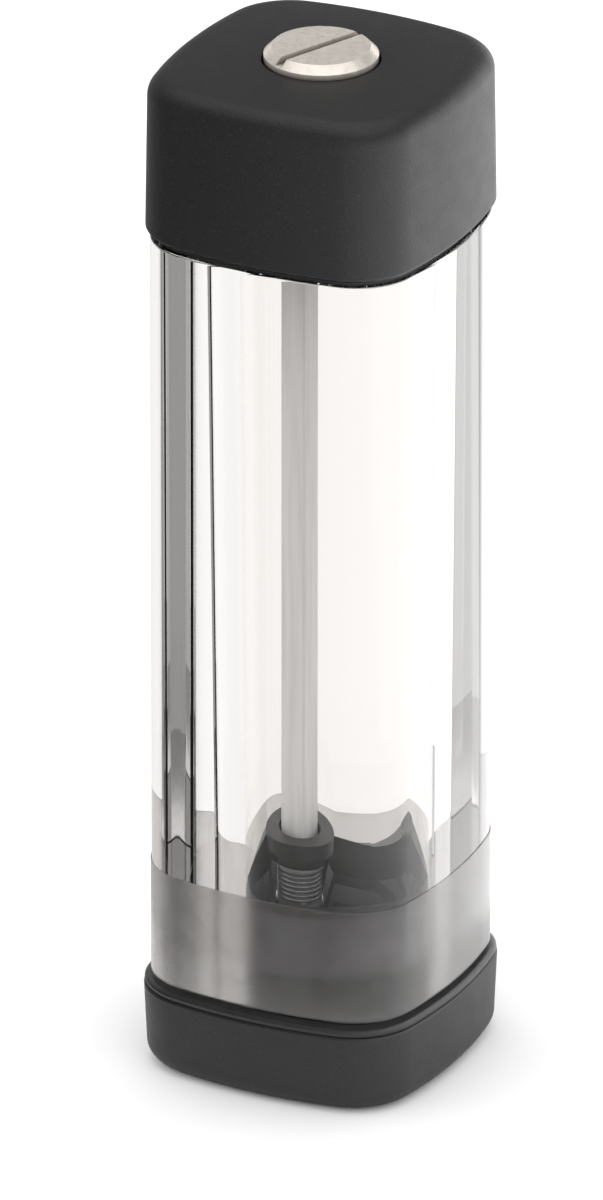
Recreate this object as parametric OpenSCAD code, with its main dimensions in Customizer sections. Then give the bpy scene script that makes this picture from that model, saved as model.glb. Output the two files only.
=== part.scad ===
// Pepper mill with a clear square body. A turning cap drives a square shaft and a
// conical burr set in a black housing. A smoke-tinted sleeve covers the body's foot, and
// the mill stands in a black base cup.
// Frame: origin at the centre of the base's underside, +Z up along the drive shaft,
// X and Y square to the flat sides of the body. All lengths are in millimetres.

/* [Outline] */
// Corner radius as a share of the half width
corner_share = 0.45; // [0.4:0.01:0.5]
// Outward bow of each side as a share of the half width
bow_share = 0.155; // [0.12:0.005:0.18]
// Steps along each side arc and each corner arc
arc_steps = 9; // [6:1:12]

/* [Base] */
// Half width across the rim of the base
base_half = 24.5; // [24.3:0.1:25]
// Half width of the base at the top of its bottom fillet
base_foot_half = 24.1; // [23.8:0.1:24.2]
// Height of the base's outer skin
base_h = 13.3; // [12.6:0.1:13.6]
// Radius of the bottom fillet of the base
base_fillet = 3.4; // [2:0.1:4]
// Thickness of the base's outer skin at the floor
base_floor = 1.4; // [1:0.1:1.6]
// Height of the rounded lip above the skin
lip_h = 1.2; // [0.8:0.1:1.4]

/* [Body] */
// Half width of the clear body across its sides
body_half = 23.4; // [23.2:0.1:23.8]
// Height of the clear body's lower edge
body_z0 = 15.6; // [15.4:0.1:16]
// Height of the clear body's upper edge
body_z1 = 140.2; // [130:0.1:150]
// Radius of the pepper chamber at its top
chamber_r_top = 13.5; // [13.3:0.1:13.5]
// Radius of the bore in the body's foot, which holds the burrs
foot_bore_r = 12.4; // [12.3:0.1:12.6]
// Half width of the body's foot, inside the tinted sleeve
foot_half = 22.3; // [22:0.1:22.5]
// Height of the tinted sleeve's upper edge, where the chamber's taper ends
sleeve_z1 = 34.4; // [34:0.1:35]

/* [Grinder] */
// Half width of the housing's spigot, which stands in the base cup
spigot_half = 21.2; // [21:0.05:21.2]
// Height of the housing's lower edge
housing_z0 = 2.8; // [2.8:0.1:3.2]
// Height of the housing's upper edge, on which the outer burr's flange rests
shelf_z = 18.8; // [18.5:0.1:19]
// Radius of the seat for the outer burr
seat_r = 11.3; // [11.2:0.05:11.4]
// Height of the outer burr's upper edge, which carries the bridge
stator_z1 = 28.9; // [28.5:0.1:29.2]
// Number of teeth on the outer burr
stator_teeth = 20; // [16:1:24]
// Number of teeth on the inner burr
rotor_teeth = 10; // [8:1:12]
// Turn of the bridge's arms about the shaft
bridge_yaw = 27; // [-90:1:90]
// Mean radius of the spring
spring_r = 4.78; // [4.75:0.01:4.85]
// Turns of the spring
spring_turns = 5; // [4:1:6]

/* [Shaft] */
// Width of the square drive shaft
shaft_w = 6; // [5.8:0.05:6]
// Turn of the square shaft against the body's sides
shaft_yaw = -14; // [-45:1:45]
// Radius of the threaded end of the shaft
thread_r = 2.5; // [2:0.1:2.5]

/* [Cap] */
// Half width of the cap at its lower edge
cap_half = 24; // [23.8:0.1:24.4]
// Gap between the neck ring and the cap
cap_gap = 0.45; // [0.4:0.05:0.6]
// Height of the cap's skin
cap_h = 26.1; // [25.8:0.1:27]
// Radius of the fillet round the cap's top
cap_fillet = 3.4; // [2.5:0.1:3.8]
// Inward draft of the cap's sides over their height
cap_draft = 0.3; // [0:0.05:0.4]
// Radius of the adjuster nut's head
nut_r = 8.9; // [8.5:0.1:9]
// Turn of the coin slot against the body's sides
slot_yaw = 68; // [0:1:180]

/* [Hidden] */
$fn = 72;
// Cuts run this far past a face
over = 1;
// Free play between two pieces that stay together
play = 0.05;
// Steps along a fillet
fillet_steps = 6;

// Base
liner_half = 23;
cup_inner_half = 21.5;
cup_floor = 2.6;
lip_z = base_h + play;
lip_top = lip_z + lip_h;

// Neck and cap
neck_bore_r = 13.6;
neck_plug_r = 15;
neck_plug_h = 2.6;
neck_flange_half = 22.6;
neck_flange_h = 0.6;
neck_top = body_z1 + neck_flange_h;
boss_r = neck_bore_r - 0.08;
boss_inner_r = 11.6;
cap_z0 = neck_top + cap_gap;
cap_top = cap_z0 + cap_h;
cap_skin = 2;
cap_edge = 0.8;
cap_rise = 0.4;
core_half = 21.9;
core_wall = 2;
plate_z0 = cap_z0 + 0.45;
plate_h = 1.8;
core_z0 = plate_z0 + plate_h + play;
core_z1 = cap_top - cap_skin - play;
tower_r = 9.6;
insert_r = 7;
insert_z0 = core_z0 + 3.5;
insert_h = 10;
shaft_hole_r = 4.7;
ring_groove_r = 0.45;
ring_z = neck_top - 1.6;

// Adjuster nut
nut_hole_r = nut_r + 0.3;
washer_h = 0.5;
nut_z0 = core_z1 + washer_h + play;
nut_side_h = 2.3;
nut_chamfer = 1.25;
nut_z1 = nut_z0 + nut_side_h + nut_chamfer;
nut_neck_r = 5.6;
nut_neck_z0 = core_z1 - 5.3;
slot_w = 1.4;
slot_depth = 1.1;
nut_bore_r = thread_r + 0.08;
nut_bore_top = nut_z1 - 2;

// Shaft
shaft_z0 = 9.2;
square_z1 = nut_neck_z0 - 1;
shaft_z1 = nut_bore_top - 1.2;
thread_pitch = 0.8;
thread_depth = 0.3;
screw_hole_r = 1.55;
screw_hole_z1 = 19;

// Burrs, from the bottom up
clamp_z0 = 8.6;
clamp_inner_r = 10.2;
stator_z0 = 12;
stator_waist_z = 20;
stator_flange_r = foot_bore_r - 0.1;
stator_r = seat_r - play;
stator_low_r = 10.1;
stator_waist_r = 7.4;
stator_mouth_r = 11.3;
burr_gap = 0.5;
rotor_z0 = 9.3;
rotor_z1 = 26.8;
rotor_top_r = 5.4;
tooth_depth = 0.7;
tooth_run = 12;

// Bridge and spring
hub_z1 = 39;
hub_lip_z = 36.4;
hub_z0 = 34;
hub_lip_r = 7.6;
hub_r = 5.9;
arm_w = 4.4;
bridge_ring_inner_r = 11.5;
bridge_z0 = stator_z1 + play;
bridge_ring_z1 = 30.5;
arm_end_z = 31;
seat_h = 0.5;
foot_h = 0.5;
spring_wire_r = 0.35;
spring_z1 = hub_z0 - play - seat_h;
spring_z0 = rotor_z1 + play + foot_h;
spring_sides = 8;
spring_steps = 24;

// Flat gasket between the housing and the clear body
plug_r = foot_bore_r - 0.1;
gasket_h = 0.65;
gasket_z0 = body_z0 - play - gasket_h;

// Radius of the big circle that one bowed side of half width a lies on
function side_r(a) = a * (1 + bow_share * bow_share) / (2 * bow_share);
// Distance of a corner arc's centre from both middle planes
function corner_c(a) =
    let (k = side_r(a) - a, d = side_r(a) - corner_share * a)
    (sqrt(2 * d * d - k * k) - k) / 2;
function arc(cx, cy, r, t0, t1) =
    [for (i = [0 : arc_steps - 1])
        let (t = t0 + (t1 - t0) * i / arc_steps) [cx + r * cos(t), cy + r * sin(t)]];
// One side and the corner after it
function quarter(a) =
    let (k = side_r(a) - a, c = corner_c(a), t = atan2(c, c + k))
    concat(arc(-k, 0, side_r(a), -t, t), arc(c, c, corner_share * a, t, 90 - t));
// Rounded square with bowed sides, of half width a
function outline(a) =
    [for (q = [0 : 3]) for (p = quarter(a))
        [p.x * cos(90 * q) - p.y * sin(90 * q), p.x * sin(90 * q) + p.y * cos(90 * q)]];
// Levels [height, half width] of a quarter-round edge of radius r, ending at its top
function round_top(z1, a, r) =
    [for (i = [0 : fillet_steps])
        let (t = 90 * i / fillet_steps) [z1 - r + r * sin(t), a - r + r * cos(t)]];
function round_bottom(z0, a, r) =
    [for (i = [0 : fillet_steps])
        let (t = 90 - 90 * i / fillet_steps) [z0 + r - r * sin(t), a - r + r * cos(t)]];

// Straight solid on the shared outline
module plate(a, z0, z1) {
    translate([0, 0, z0])
        linear_extrude(z1 - z0)
            polygon(outline(a));
}

// Solid through a stack of levels [height, half width], bottom to top
module loft(levels) {
    n = len(outline(1));
    rings = len(levels);
    points = [for (l = levels) for (p = outline(l[1])) [p.x, p.y, l[0]]];
    sides = [for (r = [0 : rings - 2]) for (i = [0 : n - 1])
        [r * n + i, (r + 1) * n + i, (r + 1) * n + (i + 1) % n, r * n + (i + 1) % n]];
    floor_face = [for (i = [0 : n - 1]) i];
    top_face = [for (i = [0 : n - 1]) rings * n - 1 - i];
    polyhedron(points, concat(sides, [floor_face, top_face]), convexity = 4);
}

module disc(r, z0, z1) {
    translate([0, 0, z0])
        cylinder(r = r, h = z1 - z0);
}

module square_bar(w, z0, z1) {
    rotate([0, 0, shaft_yaw])
        translate([-w / 2, -w / 2, z0])
            cube([w, w, z1 - z0]);
}

// Flat ring with a hole that fits the square shaft
module square_washer(r, z0, z1) {
    difference() {
        disc(r, z0, z1);
        square_bar(shaft_w + 4 * play, z0 - over, z1 + over);
    }
}

module base_cup() {
    color([0.11, 0.11, 0.115])
        difference() {
            loft(concat(round_bottom(0, base_foot_half, base_fillet),
                        [[base_h - 0.3, base_half], [base_h, base_half - 0.25]]));
            plate(liner_half, base_floor, base_h + over);
        }
}

// Hard tray inside the base's skin, with the lip that covers the skin's edge
module base_liner() {
    wall_half = liner_half - play;
    color([0.07, 0.07, 0.075])
        difference() {
            loft(concat([[base_floor + play, wall_half], [lip_z, wall_half], [lip_z, base_half - 0.35]],
                        round_top(lip_top, base_half - 0.1, lip_h * 0.8)));
            plate(cup_inner_half, cup_floor, lip_top + over);
        }
}

module body_tube() {
    color([0.86, 0.88, 0.9, 0.35])
        difference() {
            union() {
                plate(foot_half, body_z0, sleeve_z1 + over);
                plate(body_half, sleeve_z1, body_z1);
            }
            translate([0, 0, sleeve_z1])
                cylinder(r1 = foot_bore_r, r2 = chamber_r_top, h = body_z1 - sleeve_z1);
            disc(neck_plug_r, body_z1 - neck_plug_h, body_z1 + over);
            disc(foot_bore_r, body_z0 - over, sleeve_z1 + play);
        }
}

// Tinted sleeve round the body's foot, flush with its sides
module foot_sleeve() {
    color([0.35, 0.35, 0.36, 0.6])
        difference() {
            plate(body_half, body_z0, sleeve_z1 - play);
            plate(foot_half + play, body_z0 - over, sleeve_z1 + over);
        }
}

module neck_ring() {
    color([0.05, 0.05, 0.05])
        difference() {
            union() {
                disc(neck_plug_r - play, body_z1 - neck_plug_h + play, body_z1 + neck_flange_h / 2);
                plate(neck_flange_half, body_z1, neck_top);
            }
            disc(neck_bore_r, body_z1 - neck_plug_h - over, neck_top + over);
        }
}

// Square spigot below, round plug above, bored for the outer burr
module grinder_housing() {
    color([0.1, 0.1, 0.1])
        difference() {
            union() {
                plate(spigot_half, housing_z0, gasket_z0 - play);
                disc(plug_r, housing_z0 + over, shelf_z);
            }
            disc(seat_r, housing_z0 - over, shelf_z + over);
        }
}

module housing_seal() {
    color([0.2, 0.2, 0.2])
        difference() {
            plate(spigot_half, gasket_z0, gasket_z0 + gasket_h);
            disc(plug_r + play, gasket_z0 - over, body_z0 + over);
        }
}

// V-shaped grooves round a cone, from radius r0 at height z0 to r1 at z1
module grooves(count, r0, z0, r1, z1) {
    lean = atan2(r1 - r0, z1 - z0);
    length = norm([r1 - r0, z1 - z0]) + 2 * over;
    for (i = [0 : count - 1])
        rotate([0, 0, 360 * i / count])
            translate([(r0 + r1) / 2, 0, (z0 + z1) / 2])
                rotate([tooth_run, lean, 0])
                    rotate([0, 0, 45])
                        cube([tooth_depth * sqrt(2), tooth_depth * sqrt(2), length], center = true);
}

// Fixed outer burr: a toothed funnel above its waist, a grinding cone below it
module stator_burr() {
    color([0.62, 0.62, 0.62])
        difference() {
            union() {
                disc(stator_r, stator_z0, shelf_z + over);
                disc(stator_flange_r, shelf_z + play, stator_z1);
            }
            rotate_extrude()
                polygon([[0, stator_z0 - over], [stator_low_r + 0.4, stator_z0 - over],
                         [stator_low_r, stator_z0], [stator_waist_r, stator_waist_z],
                         [stator_mouth_r, stator_z1], [stator_mouth_r + 0.4, stator_z1 + over],
                         [0, stator_z1 + over]]);
            grooves(stator_teeth, stator_waist_r, stator_waist_z, stator_mouth_r, stator_z1);
        }
}

// Ring that holds the outer burr up in the housing, with two notches for a key
module stator_clamp() {
    color([0.1, 0.1, 0.1])
        difference() {
            disc(stator_r, clamp_z0, stator_z0 - play);
            disc(clamp_inner_r, clamp_z0 - over, stator_z0 + over);
            translate([-stator_r - over, -1.5, clamp_z0 - over])
                cube([2 * stator_r + 2 * over, 3, over + 1.2]);
        }
}

// One arm in side view: a steep gusset from the hub down to the ring
module arm() {
    rotate([90, 0, 0])
        translate([0, 0, -arm_w / 2])
            linear_extrude(arm_w)
                polygon([[hub_r - 0.6, hub_z0], [hub_r - 0.6, hub_z1 - 0.4],
                         [hub_lip_r, hub_z1 - 0.8], [bridge_ring_inner_r, arm_end_z + 0.7],
                         [stator_flange_r - 0.2, arm_end_z], [stator_flange_r - 0.2, bridge_z0],
                         [bridge_ring_inner_r - 0.4, bridge_z0], [hub_r + 0.9, hub_z0 - 1.6],
                         [hub_r + 0.3, hub_z0]]);
}

module bridge() {
    color([0.09, 0.09, 0.095])
        difference() {
            union() {
                disc(hub_r, hub_z0, hub_lip_z + play);
                disc(hub_lip_r, hub_lip_z, hub_z1);
                difference() {
                    disc(stator_flange_r, bridge_z0, bridge_ring_z1);
                    disc(bridge_ring_inner_r, bridge_z0 - over, bridge_ring_z1 + over);
                }
                for (turn = [0, 180])
                    rotate([0, 0, bridge_yaw + turn])
                        arm();
            }
            disc(shaft_hole_r, hub_z0 - over, hub_z1 + over);
        }
}

module spring_seat() {
    color([0.7, 0.7, 0.7])
        square_washer(hub_r - 0.3, spring_z1, spring_z1 + seat_h);
}

// Compression spring: a swept ring of points along a helix, with closed ends
module spring() {
    n = spring_sides;
    z_low = spring_z0 + spring_wire_r + play;
    z_high = spring_z1 - spring_wire_r - play;
    last = spring_turns * spring_steps;
    rings = [for (i = [0 : last])
        let (t = 360 * i / spring_steps, z = z_low + (z_high - z_low) * i / last)
        [for (j = [0 : n - 1])
            let (r = spring_r + spring_wire_r * cos(360 * j / n))
            [r * cos(t), r * sin(t), z + spring_wire_r * sin(360 * j / n)]]];
    points = [for (ring = rings) for (p = ring) p];
    sides = [for (i = [0 : last - 1]) for (j = [0 : n - 1])
        [i * n + j, i * n + (j + 1) % n, (i + 1) * n + (j + 1) % n, (i + 1) * n + j]];
    start_face = [for (j = [0 : n - 1]) n - 1 - j];
    end_face = [for (j = [0 : n - 1]) last * n + j];
    color([0.55, 0.55, 0.56])
        polyhedron(points, concat(sides, [start_face, end_face]), convexity = 10);
}

// Square shaft: tapped at its foot for the rotor screw, threaded at its head
module drive_shaft() {
    color([0.8, 0.8, 0.8])
        difference() {
            union() {
                square_bar(shaft_w, shaft_z0, square_z1);
                disc(thread_r - thread_depth, square_z1 - over, shaft_z1);
                for (z = [square_z1 + 0.6 : thread_pitch : shaft_z1 - 0.6])
                    disc(thread_r, z, z + thread_pitch / 2);
            }
            disc(screw_hole_r, shaft_z0 - over, screw_hole_z1);
        }
}

module rotor_burr() {
    low_r = stator_low_r - burr_gap;
    waist_r = stator_waist_r - burr_gap;
    color([0.6, 0.6, 0.6])
        difference() {
            rotate_extrude()
                polygon([[0, rotor_z0], [low_r - 1.2, rotor_z0], [low_r, rotor_z0 + 1.2],
                         [low_r, stator_z0], [waist_r, stator_waist_z],
                         [rotor_top_r, rotor_z1], [0, rotor_z1]]);
            square_bar(shaft_w + 2 * play, rotor_z0 - over, rotor_z1 + over);
            grooves(rotor_teeth, low_r, stator_z0, waist_r, stator_waist_z);
        }
}

module spring_foot() {
    color([0.7, 0.7, 0.7])
        square_washer(rotor_top_r - 0.1, rotor_z1 + play, spring_z0);
}

module rotor_washer() {
    color([0.7, 0.7, 0.7])
        difference() {
            disc(5, rotor_z0 - 0.8, rotor_z0 - 0.3);
            disc(screw_hole_r + 0.1, rotor_z0 - over, rotor_z0);
        }
}

// Cross-slot screw up into the shaft's foot
module rotor_screw() {
    head_z1 = rotor_z0 - 0.85;
    color([0.72, 0.72, 0.72])
        difference() {
            union() {
                disc(screw_hole_r - play, head_z1 - 0.5, screw_hole_z1 - 2);
                disc(2.9, head_z1 - 1.7, head_z1);
            }
            for (turn = [0, 90])
                rotate([0, 0, turn])
                    translate([-1.8, -0.35, head_z1 - 1.7 - over])
                        cube([3.6, 0.7, over + 0.9]);
        }
}

module cap_shell() {
    top_half = cap_half - cap_draft;
    color([0.13, 0.13, 0.135])
        difference() {
            loft(concat([[cap_z0, cap_half - cap_edge], [cap_z0 + 0.25, cap_half - 0.25],
                         [cap_z0 + cap_edge, cap_half]],
                        round_top(cap_top - cap_rise, top_half, cap_fillet),
                        [[cap_top, top_half / 2]]));
            plate(core_half + play, cap_z0 - over, cap_top - cap_skin);
            disc(nut_hole_r, cap_top - cap_skin - over, cap_top + over);
        }
}

// Hard core of the cap: a box open below, with a tower round the shaft
module cap_core() {
    color([0.08, 0.08, 0.08])
        difference() {
            union() {
                difference() {
                    plate(core_half, core_z0, core_z1);
                    plate(core_half - core_wall, core_z0 - over, core_z1 - core_wall);
                }
                disc(tower_r, insert_z0, core_z1 - core_wall / 2);
            }
            disc(insert_r + play, insert_z0 - over, insert_z0 + insert_h + play);
            disc(shaft_hole_r, insert_z0, core_z1 + over);
            disc(nut_neck_r + 0.2, nut_neck_z0 - 0.3, core_z1 + over);
        }
}

// Plate that closes the cap from below, with the boss that turns in the neck ring
module cap_plate() {
    boss_z0 = body_z1 - neck_plug_h + 0.3;
    color([0.06, 0.06, 0.06])
        difference() {
            union() {
                plate(core_half, plate_z0, plate_z0 + plate_h);
                disc(boss_r, boss_z0, plate_z0 + plate_h / 2);
                disc(insert_r - 0.5, plate_z0 + plate_h / 2, insert_z0 - play);
            }
            disc(boss_inner_r, boss_z0 - over, plate_z0);
            disc(shaft_hole_r, plate_z0 - over, insert_z0 + over);
            rotate_extrude()
                translate([boss_r, ring_z])
                    circle(r = 2 * ring_groove_r);
        }
}

// Metal bush with a square hole, through which the cap turns the shaft
module drive_insert() {
    color([0.75, 0.65, 0.4])
        difference() {
            disc(insert_r, insert_z0, insert_z0 + insert_h);
            square_bar(shaft_w + 2 * play, insert_z0 - over, insert_z0 + insert_h + over);
        }
}

module neck_o_ring() {
    color([0.04, 0.04, 0.04])
        rotate_extrude()
            translate([boss_r - ring_groove_r + 0.03, ring_z])
                circle(r = ring_groove_r);
}

module thrust_washer() {
    color([0.7, 0.7, 0.7])
        difference() {
            disc(nut_r - 0.3, core_z1, core_z1 + washer_h);
            disc(nut_neck_r + 0.2, core_z1 - over, core_z1 + washer_h + over);
        }
}

// Coin-slot nut that pulls the shaft up against the burr spring
module adjuster_nut() {
    color([0.82, 0.78, 0.74])
        difference() {
            union() {
                disc(nut_neck_r, nut_neck_z0, nut_z0 + over);
                disc(nut_r, nut_z0, nut_z1 - nut_chamfer);
                translate([0, 0, nut_z1 - nut_chamfer])
                    cylinder(r1 = nut_r, r2 = nut_r - nut_chamfer, h = nut_chamfer);
            }
            disc(nut_bore_r, nut_neck_z0 - over, nut_bore_top);
            rotate([0, 0, slot_yaw])
                translate([-nut_r - over, -slot_w / 2, nut_z1 - slot_depth])
                    cube([2 * nut_r + 2 * over, slot_w, slot_depth + over]);
        }
}

base_cup();
base_liner();
body_tube();
foot_sleeve();
neck_ring();
grinder_housing();
housing_seal();
stator_burr();
stator_clamp();
bridge();
spring_seat();
spring();
drive_shaft();
rotor_burr();
spring_foot();
rotor_washer();
rotor_screw();
cap_shell();
cap_core();
cap_plate();
drive_insert();
neck_o_ring();
thrust_washer();
adjuster_nut();
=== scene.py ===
import math

import bmesh
import bpy
from mathutils import Matrix, Vector


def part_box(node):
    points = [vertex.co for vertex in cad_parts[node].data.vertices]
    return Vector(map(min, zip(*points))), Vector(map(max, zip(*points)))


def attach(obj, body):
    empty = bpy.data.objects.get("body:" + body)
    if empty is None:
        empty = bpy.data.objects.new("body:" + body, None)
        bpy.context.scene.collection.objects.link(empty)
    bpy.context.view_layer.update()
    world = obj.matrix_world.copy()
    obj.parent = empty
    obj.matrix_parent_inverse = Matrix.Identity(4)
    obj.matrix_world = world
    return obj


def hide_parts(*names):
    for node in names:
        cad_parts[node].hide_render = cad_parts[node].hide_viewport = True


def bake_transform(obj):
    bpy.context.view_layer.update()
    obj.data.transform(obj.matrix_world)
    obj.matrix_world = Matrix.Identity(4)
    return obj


# The looks of the pepper mill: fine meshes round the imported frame, procedural materials,
# a pale floor and soft light. Lengths named here are in millimetres, unless a comment says metres.

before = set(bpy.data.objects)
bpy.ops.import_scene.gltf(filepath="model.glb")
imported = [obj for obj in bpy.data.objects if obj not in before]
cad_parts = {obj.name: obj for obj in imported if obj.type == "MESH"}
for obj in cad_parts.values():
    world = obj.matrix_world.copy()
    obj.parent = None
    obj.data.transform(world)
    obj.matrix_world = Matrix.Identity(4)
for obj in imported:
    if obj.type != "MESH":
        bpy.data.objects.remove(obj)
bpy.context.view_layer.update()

MM = 0.001
CORNER_SHARE = 0.45
BOW_SHARE = 0.155
ARC_STEPS = 20
EDGE_STEPS = 3
SHARP_ANGLE = math.radians(38)


# ---------------------------------------------------------------- outlines and meshes

def node_box(node):
    """Lowest and highest corners of a CAD node, in millimetres."""
    low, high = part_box(node)
    return low / MM, high / MM


def side_radius(half):
    return half * (1 + BOW_SHARE ** 2) / (2 * BOW_SHARE)


def corner_centre(half):
    k = side_radius(half) - half
    d = side_radius(half) - CORNER_SHARE * half
    return (math.sqrt(2 * d * d - k * k) - k) / 2


def arc(cx, cy, radius, start, end):
    turns = [start + (end - start) * i / ARC_STEPS for i in range(ARC_STEPS)]
    return [(cx + radius * math.cos(t), cy + radius * math.sin(t)) for t in turns]


def outline(half):
    """Rounded square with bowed sides, as points round the axis."""
    k = side_radius(half) - half
    c = corner_centre(half)
    t = math.atan2(c, c + k)
    side = arc(-k, 0, side_radius(half), -t, t)
    corner = arc(c, c, CORNER_SHARE * half, t, math.pi / 2 - t)
    points = []
    for quarter in range(4):
        turn = Matrix.Rotation(quarter * math.pi / 2, 2)
        points += [tuple(turn @ Vector(p)) for p in side + corner]
    return points


UNIT_OUTLINE = outline(1.0)


def ring(kind, size, z, share=0.0):
    """One ring of a loft: kind is square, round, or mix, which is share of the way to round."""
    points = []
    for x, y in UNIT_OUTLINE:
        angle = math.atan2(y, x)
        square = Vector((x, y)) * size
        circle = Vector((math.cos(angle), math.sin(angle))) * size
        flat = square if kind == "square" else circle if kind == "round" else square.lerp(circle, share)
        points.append((flat.x * MM, flat.y * MM, z * MM))
    return points


def rounded(profile):
    """Rounds the corners of a looped profile. Each point is (kind, size, z, radius of its corner)."""
    levels = []
    count = len(profile)
    for i, (kind, size, z, radius) in enumerate(profile):
        here = Vector((size, z))
        if radius <= 0:
            levels.append((kind, size, z))
            continue
        before = profile[i - 1]
        after = profile[(i + 1) % count]
        back = (Vector((before[1], before[2])) - here).normalized()
        ahead = (Vector((after[1], after[2])) - here).normalized()
        opening = back.angle(ahead)
        reach = radius / math.tan(opening / 2)
        centre = here + (back + ahead).normalized() * radius / math.sin(opening / 2)
        first = here + back * reach - centre
        last = here + ahead * reach - centre
        for step in range(EDGE_STEPS + 1):
            spoke = first.slerp(last, step / EDGE_STEPS).normalized() * radius + centre
            levels.append((kind, spoke.x, spoke.y))
    return levels


def quarter_turn(steps, first=0):
    """Angles up to 90 degrees in equal steps, in radians."""
    return [math.radians(90 * i / steps) for i in range(first, steps + 1)]


def new_object(name, mesh):
    piece = bpy.data.objects.new(name, mesh)
    bpy.context.scene.collection.objects.link(piece)
    return piece


def finish_mesh(name, bm, weighted=True):
    """Turns a bmesh into an object with smooth faces, crisp edges and area-weighted normals."""
    bmesh.ops.remove_doubles(bm, verts=bm.verts, dist=1e-7)
    bmesh.ops.recalc_face_normals(bm, faces=bm.faces)
    mesh = bpy.data.meshes.new(name)
    bm.to_mesh(mesh)
    bm.free()
    mesh.shade_smooth()
    mesh.set_sharp_from_angle(angle=SHARP_ANGLE)
    piece = new_object(name, mesh)
    if weighted:
        normals = piece.modifiers.new("normals", "WEIGHTED_NORMAL")
        normals.keep_sharp = True
    return piece


def skin_rings(bm, rings, closed):
    """Joins rings of equal length by quads."""
    rows = [[bm.verts.new(p) for p in points] for points in rings]
    pairs = list(zip(rows, rows[1:]))
    if closed:
        pairs.append((rows[-1], rows[0]))
    for low, high in pairs:
        count = len(low)
        for i in range(count):
            j = (i + 1) % count
            bm.faces.new((low[i], low[j], high[j], high[i]))
    return rows


def skin_capped(bm, rings):
    """Joins rings into a tube and closes both of its ends."""
    rows = skin_rings(bm, rings, False)
    bm.faces.new(reversed(rows[0]))
    bm.faces.new(rows[-1])


def loft(name, profile, closed=True):
    """Solid through rings. A closed profile makes a ring-shaped solid, an open one gets two end faces."""
    bm = bmesh.new()
    rings = [ring(*level) for level in rounded(profile)]
    if closed:
        skin_rings(bm, rings, True)
    else:
        skin_capped(bm, rings)
    return finish_mesh(name, bm)


def use(piece, body, material, node):
    """Gives a piece its body if it has one and its material, and hides the CAD node that it stands for."""
    if body:
        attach(piece, body)
    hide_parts(node)
    piece.data.materials.clear()
    piece.data.materials.append(material)


# ---------------------------------------------------------------- materials

# Metres
GRAIN_DEPTH = 0.0001
SOFT_GRAIN_DEPTH = 0.00012
# Reach of the nut's painted shade into its slot and gap
PAINTED_SHADE_REACH = 0.0015

ACRYLIC_IOR = 1.49
BLACK_SHADE = 0.007
BLACK_ROUGHNESS = 0.34
WORN_SHARE = 0.86


def fill_ramp(node, stops):
    """Gives a colour ramp its stops, each (position, grey or colour)."""
    elements = node.color_ramp.elements
    while len(elements) < len(stops):
        elements.new(0.5)
    for element, (position, colour) in zip(elements, stops):
        element.position = position
        shade = (colour,) * 3 if isinstance(colour, float) else colour
        element.color = (*shade, 1.0)


class Nodes:
    """Small helper that builds one material's node tree."""

    def __init__(self, name):
        self.material = bpy.data.materials.new(name)
        self.material.use_nodes = True
        self.tree = self.material.node_tree
        self.shader = self.tree.nodes["Principled BSDF"]
        self.place = self.tree.nodes.new("ShaderNodeTexCoord").outputs["Object"]

    def set(self, **values):
        for name, value in values.items():
            self.shader.inputs[name.replace("_", " ")].default_value = value
        return self

    def stretch(self, scale):
        mapping = self.tree.nodes.new("ShaderNodeMapping")
        mapping.inputs["Scale"].default_value = scale
        self.tree.links.new(self.place, mapping.inputs["Vector"])
        return mapping.outputs["Vector"]

    def noise(self, scale, detail=3.0, vector=None):
        noise = self.tree.nodes.new("ShaderNodeTexNoise")
        noise.inputs["Scale"].default_value = scale
        noise.inputs["Detail"].default_value = detail
        self.tree.links.new(vector or self.place, noise.inputs["Vector"])
        return noise.outputs["Fac"]

    def ramp(self, source, stops):
        """Maps a value through the stops of a colour ramp."""
        ramp = self.tree.nodes.new("ShaderNodeValToRGB")
        fill_ramp(ramp, stops)
        self.tree.links.new(source, ramp.inputs["Fac"])
        return ramp.outputs["Color"]

    def link(self, source, socket):
        self.tree.links.new(source, self.shader.inputs[socket])

    def bump(self, source, strength, distance=GRAIN_DEPTH):
        bump = self.tree.nodes.new("ShaderNodeBump")
        bump.inputs["Strength"].default_value = strength
        bump.inputs["Distance"].default_value = distance
        self.tree.links.new(source, bump.inputs["Height"])
        self.tree.links.new(bump.outputs["Normal"], self.shader.inputs["Normal"])


def soft_touch():
    """Rubbery black skin with a fine pale grain."""
    n = Nodes("soft_touch_black")
    grain = n.noise(2600, 2.0)
    n.link(n.ramp(grain, [(0.0, 0.004), (0.6, 0.006), (0.76, 0.018)]), "Base Color")
    n.link(n.ramp(n.noise(260, 4.0), [(0.3, 0.5), (0.7, 0.56)]), "Roughness")
    n.bump(grain, 0.45, SOFT_GRAIN_DEPTH)
    return n.set(Specular_IOR_Level=0.5).material


def hard_black():
    """Moulded black plastic with a slight sheen."""
    n = Nodes("moulded_black")
    n.link(n.ramp(n.noise(900, 3.0), [(0.3, BLACK_SHADE), (0.75, BLACK_SHADE * 1.7)]), "Base Color")
    n.link(n.ramp(n.noise(420, 3.0), [(0.3, BLACK_ROUGHNESS), (0.7, BLACK_ROUGHNESS + 0.1)]), "Roughness")
    n.bump(n.noise(1500, 2.0), 0.12)
    return n.material


def rubber():
    """Matt black rubber of the seals."""
    n = Nodes("seal_rubber")
    n.link(n.ramp(n.noise(1200, 2.0), [(0.3, 0.012), (0.8, 0.025)]), "Base Color")
    n.link(n.ramp(n.noise(500, 2.0), [(0.3, 0.62), (0.7, 0.75)]), "Roughness")
    n.bump(n.noise(2500, 2.0), 0.2)
    return n.material


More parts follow.
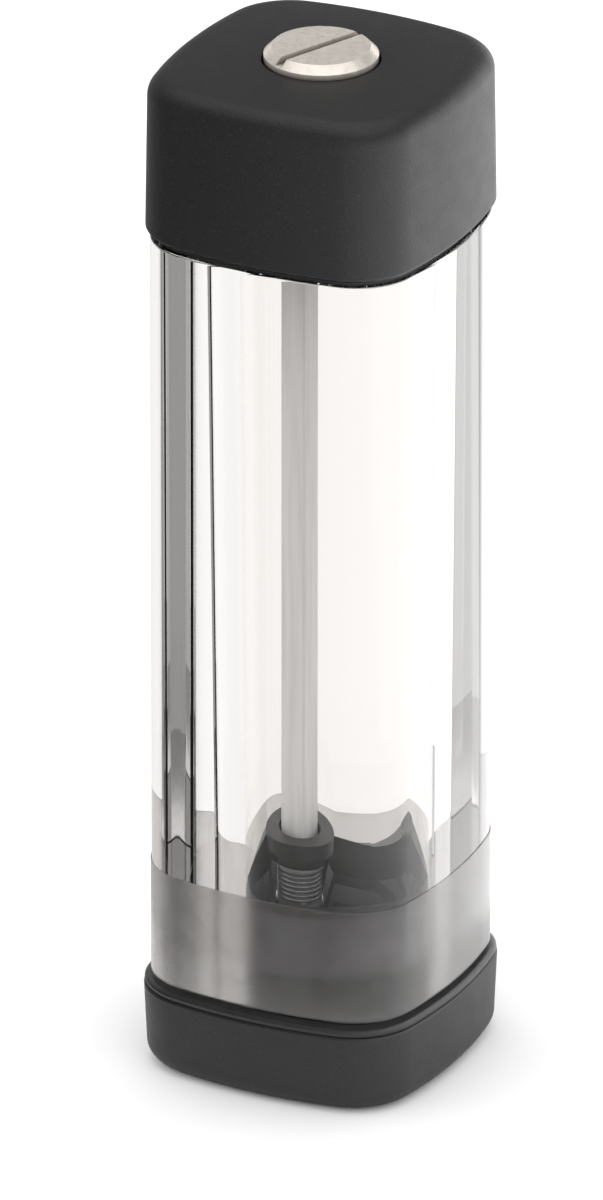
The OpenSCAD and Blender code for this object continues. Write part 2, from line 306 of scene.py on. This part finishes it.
def let_lamps_through(nodes):
    """Lets lamps and the sky light what stands inside an acrylic piece."""
    tree = nodes.tree
    output = tree.nodes["Material Output"]
    path = tree.nodes.new("ShaderNodeLightPath")
    clear = tree.nodes.new("ShaderNodeBsdfTransparent")
    mix = tree.nodes.new("ShaderNodeMixShader")
    tree.links.new(path.outputs["Is Shadow Ray"], mix.inputs["Fac"])
    tree.links.new(nodes.shader.outputs[0], mix.inputs[1])
    tree.links.new(clear.outputs[0], mix.inputs[2])
    tree.links.new(mix.outputs[0], output.inputs["Surface"])
    return nodes.material


def clear_acrylic():
    """Polished acrylic with faint draw lines and a slight warm and cool drift."""
    n = Nodes("clear_acrylic")
    drift = n.noise(40, 2.0, n.stretch((1.0, 1.0, 0.12)))
    n.link(n.ramp(drift, [(0.3, (0.99, 0.97, 0.95)), (0.7, (0.985, 0.97, 0.96))]), "Base Color")
    n.link(n.ramp(n.noise(90, 2.0), [(0.3, 0.0), (0.8, 0.012)]), "Roughness")
    n.set(Transmission_Weight=1.0, IOR=ACRYLIC_IOR)
    return let_lamps_through(n)


def smoke_acrylic():
    """Frosted grey acrylic of the sleeve."""
    n = Nodes("smoke_acrylic")
    cloud = n.noise(160, 3.0)
    n.link(n.ramp(cloud, [(0.3, (0.62, 0.605, 0.595)), (0.7, (0.70, 0.69, 0.685))]), "Base Color")
    n.link(n.ramp(n.noise(300, 3.0), [(0.3, 0.2), (0.7, 0.26)]), "Roughness")
    n.bump(n.noise(2200, 2.0), 0.05)
    n.set(Transmission_Weight=1.0, IOR=ACRYLIC_IOR)
    return let_lamps_through(n)


def steel(name, shade, roughness, drawn=False, metal=1.0):
    """Plain metal. Drawn metal has fine marks along Z, and metal under 1 is a paler, dusty finish."""
    n = Nodes(name)
    worn = tuple(level * WORN_SHARE for level in shade)
    marks = n.stretch((1.0, 1.0, 0.05 if drawn else 1.0))
    n.link(n.ramp(n.noise(700, 4.0, marks), [(0.3, worn), (0.7, shade)]), "Base Color")
    n.link(n.ramp(n.noise(1300, 3.0), [(0.3, roughness), (0.7, roughness + 0.12)]), "Roughness")
    n.bump(n.noise(3000, 2.0, n.stretch((1.0, 1.0, 0.04 if drawn else 1.0))), 0.12)
    return n.set(Metallic=metal).material


# Sockets of the Mix node that carry colours
MIX_A = 6
MIX_B = 7
MIX_RESULT = 2


def nickel():
    """Turned and plated nut, with painted shade that darkens its slot and the gap round it."""
    n = Nodes("nickel_plate")
    shade = n.ramp(n.noise(700, 4.0), [(0.3, (0.76, 0.70, 0.63)), (0.7, (0.88, 0.82, 0.75))])
    # Painted shade: ambient occlusion darkens the nut's colour in its slot and in the gap round it
    painted_shade_ao = n.tree.nodes.new("ShaderNodeAmbientOcclusion")
    painted_shade_ao.inputs["Distance"].default_value = PAINTED_SHADE_REACH
    painted_shade = n.ramp(painted_shade_ao.outputs["AO"], [(0.35, 0.12), (0.85, 1.0)])
    product = n.tree.nodes.new("ShaderNodeMix")
    product.data_type = "RGBA"
    product.blend_type = "MULTIPLY"
    product.inputs["Factor"].default_value = 1.0
    n.tree.links.new(shade, product.inputs[MIX_A])
    n.tree.links.new(painted_shade, product.inputs[MIX_B])
    n.link(product.outputs[MIX_RESULT], "Base Color")
    n.link(n.ramp(n.noise(1300, 3.0), [(0.3, 0.26), (0.7, 0.36)]), "Roughness")
    n.bump(n.noise(3000, 2.0), 0.15)
    return n.set(Metallic=0.6).material


SOFT = soft_touch()
BLACK = hard_black()
RUBBER = rubber()
CLEAR = clear_acrylic()
SMOKE = smoke_acrylic()
BURR = steel("burr_steel", (0.20, 0.20, 0.21), 0.38)
ZINC = steel("zinc_steel", (0.62, 0.62, 0.63), 0.3)
WIRE = steel("spring_wire", (0.40, 0.40, 0.41), 0.28)
SATIN = steel("satin_bar", (0.97, 0.965, 0.95), 0.5, drawn=True, metal=0.25)
BRASS = steel("machined_brass", (0.75, 0.56, 0.28), 0.3)
NICKEL = nickel()


# ---------------------------------------------------------------- camera, light and floor

SENSOR = 36.0
CAMERA_AZIMUTH = math.radians(27)
CAMERA_ELEVATION = math.radians(24.5)
CAMERA_LENS = 676.0
AIM_HEIGHT = 75.8
AIM_SIDE = -3.03

# Metres
CAMERA_DISTANCE = 3.5
CAMERA_FAR = 20.0


def make_camera():
    data = bpy.data.cameras.new("camera")
    data.lens = CAMERA_LENS
    data.sensor_width = SENSOR
    data.clip_end = CAMERA_FAR
    camera = new_object("camera", data)
    right = Vector((math.cos(CAMERA_AZIMUTH), math.sin(CAMERA_AZIMUTH), 0))
    flat = Vector((math.sin(CAMERA_AZIMUTH), -math.cos(CAMERA_AZIMUTH), 0))
    back = flat * math.cos(CAMERA_ELEVATION) + Vector((0, 0, math.sin(CAMERA_ELEVATION)))
    aim = (right * AIM_SIDE + Vector((0, 0, AIM_HEIGHT))) * MM
    camera.location = aim + back * CAMERA_DISTANCE
    camera.rotation_mode = "QUATERNION"
    camera.rotation_quaternion = (-back).to_track_quat("-Z", "Y")
    bpy.context.scene.camera = camera


WORLD_WHITE = 1.35
ROOM_STOPS = [(0.0, 0.9), (0.3, 0.12), (0.62, 0.12), (0.8, 1.3)]


def make_world():
    """White to the camera and as fill; reflections see a dim room with a bright ceiling."""
    world = bpy.data.worlds.new("world")
    bpy.context.scene.world = world
    world.use_nodes = True
    tree = world.node_tree
    tree.nodes.clear()
    add = tree.nodes.new
    path = add("ShaderNodeLightPath")
    place = add("ShaderNodeTexCoord")
    split = add("ShaderNodeSeparateXYZ")
    tree.links.new(place.outputs["Generated"], split.inputs[0])
    room = add("ShaderNodeValToRGB")
    fill_ramp(room, ROOM_STOPS)
    tree.links.new(split.outputs["Z"], room.inputs["Fac"])
    glossy = add("ShaderNodeBackground")
    tree.links.new(room.outputs["Color"], glossy.inputs["Color"])
    plain = add("ShaderNodeBackground")
    plain.inputs["Color"].default_value = (1.0, 1.0, 1.0, 1.0)
    plain.inputs["Strength"].default_value = WORLD_WHITE
    pick = add("ShaderNodeMixShader")
    tree.links.new(path.outputs["Is Glossy Ray"], pick.inputs["Fac"])
    tree.links.new(plain.outputs[0], pick.inputs[1])
    tree.links.new(glossy.outputs[0], pick.inputs[2])
    tree.links.new(pick.outputs[0], add("ShaderNodeOutputWorld").inputs["Surface"])


# A stop is (share of the way round, from the camera's side to the camera's
# side again, light), so 0.5 is straight behind the mill.
TENT_RADIUS = 62.0
TENT_FOOT = 0.5
TENT_POINTS = 96
SHINE_HEIGHT = 178.0
SHINE_STOPS = [
    (0.0, 0.9), (0.06, 0.5), (0.15, 0.25), (0.25, 0.15), (0.36, 0.7), (0.5, 0.8), (0.555, 0.7),
    (0.64, 2.4), (0.76, 2.4), (0.84, 2.0), (0.92, 1.5), (1.0, 0.9)]
CLEAR_HEIGHT = 150.0
CLEAR_STOPS = [
    (0.0, 0.35), (0.1, 0.4), (0.19, 0.35), (0.235, 0.98), (0.5, 1.06), (0.735, 1.04),
    (0.765, 0.3), (0.83, 0.28), (0.93, 0.35), (1.0, 0.5)]


def make_tent(name, height, stops):
    """Glowing tent round the mill, seen only by the rays that it is there for."""
    bm = bmesh.new()
    turns = [2 * math.pi * i / TENT_POINTS for i in range(TENT_POINTS)]
    rings = [[(TENT_RADIUS * MM * math.cos(t), TENT_RADIUS * MM * math.sin(t), z * MM) for t in turns]
             for z in (TENT_FOOT, height)]
    skin_rings(bm, rings, False)
    tent = finish_mesh(name, bm, weighted=False)
    tent.visible_camera = False
    tent.visible_diffuse = False
    tent.visible_shadow = False
    tent.visible_volume_scatter = False
    material = bpy.data.materials.new(name)
    material.use_nodes = True
    material.cycles.emission_sampling = "NONE"
    tree = material.node_tree
    tree.nodes.clear()
    add = tree.nodes.new
    place = add("ShaderNodeTexCoord")
    turn = add("ShaderNodeMapping")
    turn.inputs["Rotation"].default_value = (0, 0, -CAMERA_AZIMUTH)
    tree.links.new(place.outputs["Object"], turn.inputs["Vector"])
    split = add("ShaderNodeSeparateXYZ")
    tree.links.new(turn.outputs[0], split.inputs[0])
    angle = add("ShaderNodeMath")
    angle.operation = "ARCTAN2"
    tree.links.new(split.outputs["X"], angle.inputs[0])
    tree.links.new(split.outputs["Y"], angle.inputs[1])
    share = add("ShaderNodeMapRange")
    share.inputs["From Min"].default_value = -math.pi
    share.inputs["From Max"].default_value = math.pi
    tree.links.new(angle.outputs[0], share.inputs["Value"])
    ramp = add("ShaderNodeValToRGB")
    strongest = max(light for _, light in stops)
    fill_ramp(ramp, [(position, light / strongest) for position, light in stops])
    tree.links.new(share.outputs[0], ramp.inputs["Fac"])
    glow = add("ShaderNodeEmission")
    glow.inputs["Strength"].default_value = strongest
    tree.links.new(ramp.outputs["Color"], glow.inputs["Color"])
    tree.links.new(glow.outputs[0], add("ShaderNodeOutputMaterial").inputs["Surface"])
    tent.data.materials.append(material)
    return tent


def make_tents():
    """One tent lights what shines, the other what is seen through the acrylic."""
    shine = make_tent("shine_tent", SHINE_HEIGHT, SHINE_STOPS)
    shine.visible_transmission = False
    clear = make_tent("clear_tent", CLEAR_HEIGHT, CLEAR_STOPS)
    clear.visible_glossy = False


# Metres
FLOOR_HALF = 3.0


def make_floor():
    """Pale matt floor."""
    bm = bmesh.new()
    bmesh.ops.create_grid(bm, x_segments=1, y_segments=1, size=FLOOR_HALF)
    floor = finish_mesh("floor", bm, weighted=False)
    n = Nodes("floor")
    n.link(n.ramp(n.noise(30, 2.0), [(0.3, 0.93), (0.7, 0.95)]), "Base Color")
    n.set(Roughness=0.6, Specular_IOR_Level=0.0)
    floor.data.materials.append(n.material)


# ---------------------------------------------------------------- pieces

# Half widths, heights and roundings of the pieces, in millimetres

SKIN_FILLET = 3.4
CAP_TAPER = 0.3
CAP_HEM = 0.8
CAP_CROWN = 0.4
CAP_ROOF = 2.0
CAP_INNER = 21.95
CAP_HOLE_R = 9.2
CAP_HOLE_EDGE = 0.25
HEM_STEPS = 6
CAP_FILLET_STEPS = 12
CROWN_STEPS = 8
HOLE_STEPS = 3


def make_cap():
    """Cap skin: a square hem and side, a crown that turns round towards the nut's hole, and its inside."""
    low, high = node_box("cap_shell")
    half, z0, z1 = high.x, low.z, high.z
    top_half = half - CAP_TAPER
    ceiling = z1 - CAP_ROOF
    rim = z1 - CAP_CROWN
    rings = []
    for t in quarter_turn(HEM_STEPS):
        rings.append(ring("square", half - CAP_HEM * (1 - math.sin(t)), z0 + CAP_HEM * (1 - math.cos(t))))
    for t in quarter_turn(CAP_FILLET_STEPS):
        size = top_half - SKIN_FILLET + SKIN_FILLET * math.cos(t)
        rings.append(ring("square", size, rim - SKIN_FILLET + SKIN_FILLET * math.sin(t)))
    span = top_half - SKIN_FILLET - CAP_HOLE_R - CAP_HOLE_EDGE
    for i in range(1, CROWN_STEPS + 1):
        share = i / CROWN_STEPS
        size = top_half - SKIN_FILLET - span * share
        rings.append(ring("mix", size, rim + CAP_CROWN * math.sin(share * math.pi / 2), share))
    for t in quarter_turn(HOLE_STEPS, first=1):
        size = CAP_HOLE_R + CAP_HOLE_EDGE * (1 - math.sin(t))
        rings.append(ring("round", size, z1 - CAP_HOLE_EDGE * (1 - math.cos(t))))
    rings.append(ring("round", CAP_HOLE_R, ceiling))
    for i in range(1, HOLE_STEPS + 1):
        share = i / HOLE_STEPS
        rings.append(ring("mix", CAP_HOLE_R + (CAP_INNER - CAP_HOLE_R) * share, ceiling, 1 - share))
    rings.append(ring("square", CAP_INNER, z0))
    bm = bmesh.new()
    skin_rings(bm, rings, True)
    use(finish_mesh("cap_skin", bm), "cap", SOFT, "cap_shell")


BASE_FOOT = 24.1
BASE_INNER = 23.0
BASE_FLOOR = 1.4
BASE_EDGE_DROP = 0.3
BASE_EDGE_INSET = 0.25
EDGE_ROUND = 0.1
BASE_FILLET_STEPS = 10
TRAY_HALF = 22.95
TRAY_INNER = 21.5
TRAY_FLOOR = 2.6
TRAY_ROUND = 0.3
LIP_Z = 13.35
LIP_INSET = 0.2
LIP_RISE = 0.6
LIP_REACH = 0.85
LIP_INNER = 21.9
LIP_STEPS = 6


def make_base_skin():
    """Outer skin of the base cup."""
    _, high = node_box("base_cup")
    profile = []
    for t in quarter_turn(BASE_FILLET_STEPS):
        size = BASE_FOOT - SKIN_FILLET + SKIN_FILLET * math.sin(t)
        profile.append(("square", size, SKIN_FILLET * (1 - math.cos(t)), 0.0))
    profile += [
        ("square", high.x, high.z - BASE_EDGE_DROP, 0.0),
        ("square", high.x - BASE_EDGE_INSET, high.z, EDGE_ROUND),
        ("square", BASE_INNER, high.z, 0.0), ("square", BASE_INNER, BASE_FLOOR, 0.0)]
    use(loft("base_skin", profile, closed=False), "base", SOFT, "base_cup")


def make_base_tray():
    """Tray inside the base skin, whose rounded lip stands over the skin's edge."""
    low, high = node_box("base_liner")
    rim, lip = high.x, high.z
    profile = [
        ("square", TRAY_HALF, low.z, TRAY_ROUND), ("square", TRAY_HALF, LIP_Z, 0.0),
        ("square", rim - LIP_INSET, LIP_Z, EDGE_ROUND), ("square", rim, lip - LIP_RISE, 0.0)]
    for t in quarter_turn(LIP_STEPS, first=1):
        size = rim - LIP_REACH + LIP_REACH * math.cos(t)
        profile.append(("square", size, lip - LIP_RISE + LIP_RISE * math.sin(t), 0.0))
    profile += [
        ("square", LIP_INNER, lip, TRAY_ROUND), ("square", TRAY_INNER, lip - LIP_RISE, 0.0),
        ("square", TRAY_INNER, TRAY_FLOOR, 0.0)]
    use(loft("base_tray", profile, closed=False), "base", BLACK, "base_liner")


BORE_TOP = 13.5
BORE_FOOT = 12.4
NECK_PLUG = 15.0
NECK_DEPTH = 2.6
BODY_ROUND = 0.35
FOOT_ROUND = 0.2
SKIN_GAP = 0.02
SKIN_THICK = 0.1


def make_body():
    """Clear body, full width to its foot, and the sleeve as a thin frosted skin just outside it."""
    low, high = node_box("body_tube")
    sleeve_low, sleeve_high = node_box("foot_sleeve")
    half, z0, z1 = high.x, low.z, high.z
    step = sleeve_high.z
    profile = [
        ("square", half, z0, BODY_ROUND), ("square", half, z1, BODY_ROUND),
        ("round", NECK_PLUG, z1, EDGE_ROUND), ("round", NECK_PLUG, z1 - NECK_DEPTH, 0.0),
        ("round", BORE_TOP, z1 - NECK_DEPTH, EDGE_ROUND), ("round", BORE_FOOT, step, 0.0),
        ("round", BORE_FOOT, z0, FOOT_ROUND)]
    use(loft("clear_body", profile), "mill", CLEAR, "body_tube")

    inner = half + SKIN_GAP
    outer = inner + SKIN_THICK
    profile = [("square", outer, sleeve_low.z, 0.0), ("square", outer, step, 0.0),
               ("square", inner, step, 0.0), ("square", inner, sleeve_low.z, 0.0)]
    use(loft("smoke_sleeve", profile), "mill", SMOKE, "foot_sleeve")


ARRIS_STEPS = 8
SHAFT_HALF = 3.0
SHAFT_TURN = math.radians(-14)
SHAFT_ARRIS = 0.35
SHAFT_CHAMFER = 0.3
SQUARE_TOP = 158.9
THREAD_R = 2.5
THREAD_DEPTH = 0.3
THREAD_PITCH = 0.8


def square_ring(half, radius, z):
    """Ring of the shaft: a square with rounded arrises, or a circle where the radius is the half width."""
    points = []
    for quarter in range(4):
        for step in range(ARRIS_STEPS + 1):
            t = math.pi / 2 * step / ARRIS_STEPS
            corner = Vector((half - radius + radius * math.cos(t), half - radius + radius * math.sin(t)))
            flat = Matrix.Rotation(quarter * math.pi / 2 + SHAFT_TURN, 2) @ corner
            points.append((flat.x * MM, flat.y * MM, z * MM))
    return points


def make_shaft():
    """Square bar with rounded arrises and ridges in place of a thread at its upper end."""
    low, high = node_box("drive_shaft")
    narrow = SHAFT_HALF - SHAFT_CHAMFER
    root = THREAD_R - THREAD_DEPTH
    rings = [
        square_ring(narrow, SHAFT_ARRIS, low.z),
        square_ring(SHAFT_HALF, SHAFT_ARRIS, low.z + SHAFT_CHAMFER),
        square_ring(SHAFT_HALF, SHAFT_ARRIS, SQUARE_TOP - SHAFT_CHAMFER),
        square_ring(narrow, SHAFT_ARRIS, SQUARE_TOP)]
    z = SQUARE_TOP
    while z + THREAD_PITCH < high.z:
        rings.append(square_ring(root, root, z))
        rings.append(square_ring(THREAD_R, THREAD_R, z + THREAD_PITCH / 2))
        z += THREAD_PITCH
    rings.append(square_ring(root, root, z))
    rings.append(square_ring(root, root, high.z))
    bm = bmesh.new()
    skin_capped(bm, rings)
    use(finish_mesh("shaft_bar", bm), "shaft", SATIN, "drive_shaft")


NUT_R = 8.9
NUT_CHAMFER = 1.25
NUT_HEAD_SIDE = 2.3
NUT_HEAD_ROUND = 0.15
NUT_NECK_R = 5.6
NUT_NECK_ROUND = 0.2
NUT_BORE_R = 2.58
NUT_ROOF = 2.0
AXIS_R = 0.05
SLOT_HALF = 0.7
SLOT_REACH = 12.0
SLOT_DEPTH = 1.1
SLOT_ABOVE = 1.0
SLOT_TURN = math.radians(68)


def nut_blank(z0, z1):
    """The nut as turned, bored from below. A hair-thin hole on the axis lets the profile be a loop."""
    seat = z1 - NUT_CHAMFER - NUT_HEAD_SIDE
    profile = [
        ("round", NUT_BORE_R, z0, 0.0), ("round", NUT_NECK_R, z0, NUT_NECK_ROUND),
        ("round", NUT_NECK_R, seat, 0.0), ("round", NUT_R, seat, NUT_HEAD_ROUND),
        ("round", NUT_R, z1 - NUT_CHAMFER, 0.0), ("round", NUT_R - NUT_CHAMFER, z1, 0.0),
        ("round", NUT_BORE_R, z1, 0.0), ("round", AXIS_R, z1, 0.0),
        ("round", AXIS_R, z1 - NUT_ROOF, 0.0), ("round", NUT_BORE_R, z1 - NUT_ROOF, 0.0)]
    return loft("nut_blank", profile)


def slot_cutter(top):
    """Bar that mills the coin slot."""
    sides = ((-SLOT_REACH, -SLOT_HALF), (SLOT_REACH, -SLOT_HALF),
             (SLOT_REACH, SLOT_HALF), (-SLOT_REACH, SLOT_HALF))
    rings = [[(x * MM, y * MM, z * MM) for x, y in sides] for z in (top - SLOT_DEPTH, top + SLOT_ABOVE)]
    bm = bmesh.new()
    skin_capped(bm, rings)
    bmesh.ops.rotate(bm, verts=bm.verts, matrix=Matrix.Rotation(SLOT_TURN, 3, "Z"))
    return finish_mesh("slot_cutter", bm, weighted=False)


def make_nut():
    """Coin-slot nut: a turned blank with a slot milled across its top."""
    low, high = node_box("adjuster_nut")
    nut = nut_blank(low.z, high.z)
    cutter = slot_cutter(high.z)

    nut.modifiers.clear()
    slot = nut.modifiers.new("slot", "BOOLEAN")
    slot.object = cutter
    slot.operation = "DIFFERENCE"
    slot.solver = "EXACT"
    bpy.context.view_layer.update()
    shape = bpy.data.meshes.new_from_object(nut.evaluated_get(bpy.context.evaluated_depsgraph_get()))
    bm = bmesh.new()
    bm.from_mesh(shape)
    bpy.data.objects.remove(cutter)
    bpy.data.objects.remove(nut)
    bpy.data.meshes.remove(shape)
    nut = finish_mesh("coin_slot_nut", bm, weighted=False)
    use(nut, "adjuster", NICKEL, "adjuster_nut")


COIL_WIRE = 0.27
COIL_TURNS = 7
COIL_STEPS = 40
COIL_SIDES = 12


def make_spring():
    """Coil spring from the inner burr up to the underside of the hub."""
    low, high = node_box("spring")
    mean = high.x - COIL_WIRE
    z0 = low.z + COIL_WIRE
    z1 = high.z - COIL_WIRE
    rings = []
    count = COIL_TURNS * COIL_STEPS
    for i in range(count + 1):
        t = 2 * math.pi * i / COIL_STEPS
        z = z0 + (z1 - z0) * i / count
        loop = []
        for j in range(COIL_SIDES):
            u = 2 * math.pi * j / COIL_SIDES
            r = mean + COIL_WIRE * math.cos(u)
            height = z + COIL_WIRE * math.sin(u)
            loop.append((r * math.cos(t) * MM, r * math.sin(t) * MM, height * MM))
        rings.append(loop)
    bm = bmesh.new()
    skin_capped(bm, rings)
    coil = finish_mesh("coil_spring", bm, weighted=False)
    use(coil, None, WIRE, "spring")
    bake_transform(coil)


def paint_frame():
    """Materials of the CAD nodes that show as they are."""
    looks = {
        "neck_ring": BLACK, "grinder_housing": BLACK, "housing_seal": RUBBER, "stator_burr": BURR,
        "stator_clamp": BLACK, "bridge": BLACK, "spring_seat": ZINC,
        "rotor_burr": BURR, "spring_foot": ZINC, "rotor_washer": ZINC,
        "rotor_screw": ZINC, "cap_core": BLACK, "cap_plate": BLACK, "drive_insert": BRASS,
        "neck_o_ring": RUBBER, "thrust_washer": ZINC}
    for name, material in looks.items():
        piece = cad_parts[name]
        for slot in piece.material_slots:
            slot.material = material


bpy.context.scene.view_settings.view_transform = "Standard"
make_camera()
make_world()
make_tents()
make_floor()
make_cap()
make_base_skin()
make_base_tray()
make_body()
make_shaft()
make_nut()
make_spring()
paint_frame()
